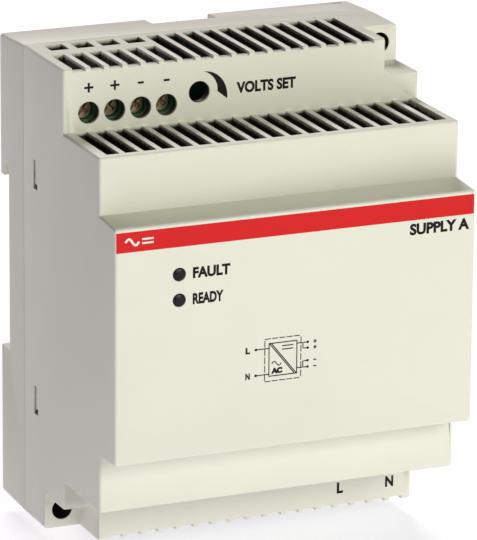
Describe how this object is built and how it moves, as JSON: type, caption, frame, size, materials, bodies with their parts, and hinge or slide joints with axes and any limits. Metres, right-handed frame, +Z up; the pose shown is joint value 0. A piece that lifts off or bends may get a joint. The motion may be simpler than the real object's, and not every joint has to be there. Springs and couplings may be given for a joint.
{
  "type": "din rail power supply",
  "caption": "Stepped grey modular mains power supply that hooks on a DIN rail, with vent slots, screw terminals, a voltage adjuster, indicator lamps and a sliding rail clip.",
  "frame": {"origin": "on the face that the rail bears on, at the rail's centre line and at mid width", "axes": "+X to the right seen from the front, +Y backwards to the rail, +Z up; the front panel faces -Y"},
  "size_m": [0.071, 0.0578, 0.091],
  "materials": {
    "case_plastic": "fine spark-eroded texture, light warm grey",
    "black_plastic": "satin black moulding",
    "steel": "zinc plated",
    "screw_steel": "yellowish zinc plated, worn in the slot",
    "tinned_brass": "dull tin plate",
    "insulation": "vulcanised fibre sheet",
    "board": "solder mask with tracks",
    "terminal_green": "satin green moulding",
    "blue_plastic": "satin blue moulding",
    "white_plastic": "satin white moulding",
    "lamp_resin": "tinted clear resin",
    "lens_black": "smoked lens, unlit",
    "blue_resin": "dipped epoxy",
    "dark_resin": "dipped silicone",
    "yellow_plastic": "potted film-capacitor box",
    "ferrite": "ground ferrite",
    "copper_wire": "enamelled copper",
    "capacitor_sleeve": "heat-shrunk sleeve on an aluminium can",
    "aluminium": "punched sheet",
    "winding_tape": "polyester tape over the windings"
  },
  "bodies": {
    "case": {"rear_base": "case_plastic", "front_cover": "case_plastic", "clip_spring": "steel", "insulation_sheet": "insulation", "main_board": "board", "board_screws": "steel", "output_terminal_body": "terminal_green", "output_contacts": "tinned_brass", "input_terminal_body": "terminal_green", "input_contacts": "tinned_brass", "trimmer_body": "blue_plastic", "control_board": "board", "control_chip": "black_plastic", "led_low": "lamp_resin", "led_on": "lamp_resin", "lens_low": "lens_black", "lens_on": "lens_black", "line_fuse": "black_plastic", "surge_varistor": "blue_resin", "inrush_thermistor": "dark_resin", "x_capacitor": "yellow_plastic", "y_capacitor": "blue_resin", "line_choke_core": "ferrite", "line_choke_windings": "copper_wire", "bridge_rectifier": "black_plastic", "bulk_capacitor": "capacitor_sleeve", "primary_heatsink": "aluminium", "switching_transistor": "black_plastic", "output_heatsink": "aluminium", "output_rectifier": "black_plastic", "heatsink_screws": "steel", "transformer_core": "ferrite", "transformer_bobbin": "black_plastic", "transformer_windings": "winding_tape", "optocoupler": "white_plastic", "output_choke": "copper_wire", "output_capacitors": "capacitor_sleeve"},
    "rail_clip": {"din_clip": "black_plastic"},
    "output_screw_1": {"output_screw_1": "screw_steel"},
    "output_clamp_1": {"output_clamp_1": "tinned_brass"},
    "output_screw_2": {"output_screw_2": "screw_steel"},
    "output_clamp_2": {"output_clamp_2": "tinned_brass"},
    "output_screw_3": {"output_screw_3": "screw_steel"},
    "output_clamp_3": {"output_clamp_3": "tinned_brass"},
    "output_screw_4": {"output_screw_4": "screw_steel"},
    "output_clamp_4": {"output_clamp_4": "tinned_brass"},
    "input_screw_n": {"input_screw_n": "screw_steel"},
    "input_clamp_n": {"input_clamp_n": "tinned_brass"},
    "input_screw_l": {"input_screw_l": "screw_steel"},
    "input_clamp_l": {"input_clamp_l": "tinned_brass"},
    "adjuster": {"trimmer_shaft": "white_plastic"}
  },
  "joints": [
    {"name": "output_screw_1_turn", "type": "hinge", "parent": "case", "child": "output_screw_1", "pos_m": [-0.0305, -0.02365, 0.0342], "axis": [0, 1, 0], "range_deg": [0, 1800]},
    {"name": "output_clamp_1_slide", "type": "slide", "parent": "case", "child": "output_clamp_1", "axis": [0, -1, 0], "range_m": [0, 0.0025]},
    {"name": "output_screw_2_turn", "type": "hinge", "parent": "case", "child": "output_screw_2", "pos_m": [-0.02542, -0.02365, 0.0342], "axis": [0, 1, 0], "range_deg": [0, 1800]},
    {"name": "output_clamp_2_slide", "type": "slide", "parent": "case", "child": "output_clamp_2", "axis": [0, -1, 0], "range_m": [0, 0.0025]},
    {"name": "output_screw_3_turn", "type": "hinge", "parent": "case", "child": "output_screw_3", "pos_m": [-0.02034, -0.02365, 0.0342], "axis": [0, 1, 0], "range_deg": [0, 1800]},
    {"name": "output_clamp_3_slide", "type": "slide", "parent": "case", "child": "output_clamp_3", "axis": [0, -1, 0], "range_m": [0, 0.0025]},
    {"name": "output_screw_4_turn", "type": "hinge", "parent": "case", "child": "output_screw_4", "pos_m": [-0.01526, -0.02365, 0.0342], "axis": [0, 1, 0], "range_deg": [0, 1800]},
    {"name": "output_clamp_4_slide", "type": "slide", "parent": "case", "child": "output_clamp_4", "axis": [0, -1, 0], "range_m": [0, 0.0025]},
    {"name": "input_screw_n_turn", "type": "hinge", "parent": "case", "child": "input_screw_n", "pos_m": [0.0305, -0.02365, -0.0398], "axis": [0, 1, 0], "range_deg": [0, 1800]},
    {"name": "input_clamp_n_slide", "type": "slide", "parent": "case", "child": "input_clamp_n", "axis": [0, -1, 0], "range_m": [0, 0.0025]},
    {"name": "input_screw_l_turn", "type": "hinge", "parent": "case", "child": "input_screw_l", "pos_m": [0.02034, -0.02365, -0.0398], "axis": [0, 1, 0], "range_deg": [0, 1800]},
    {"name": "input_clamp_l_slide", "type": "slide", "parent": "case", "child": "input_clamp_l", "axis": [0, -1, 0], "range_m": [0, 0.0025]},
    {"name": "rail_clip_slide", "type": "slide", "parent": "case", "child": "rail_clip", "axis": [0, 0, -1], "range_m": [0, 0.0035], "stiffness_N_per_m": 1200, "springref_m": -0.0015, "deforming": ["clip_spring"]},
    {"name": "adjuster_turn", "type": "hinge", "parent": "case", "child": "adjuster", "pos_m": [-0.0088, -0.0175, 0.036], "axis": [0, 1, 0], "range_deg": [-135, 135]}
  ],
  "couplings": [
    {"joint": "output_screw_1_turn", "follows": "output_clamp_1_slide", "rad_per_m": 12566},
    {"joint": "output_screw_2_turn", "follows": "output_clamp_2_slide", "rad_per_m": 12566},
    {"joint": "output_screw_3_turn", "follows": "output_clamp_3_slide", "rad_per_m": 12566},
    {"joint": "output_screw_4_turn", "follows": "output_clamp_4_slide", "rad_per_m": 12566},
    {"joint": "input_screw_n_turn", "follows": "input_clamp_n_slide", "rad_per_m": 12566},
    {"joint": "input_screw_l_turn", "follows": "input_clamp_l_slide", "rad_per_m": 12566}
  ]
}
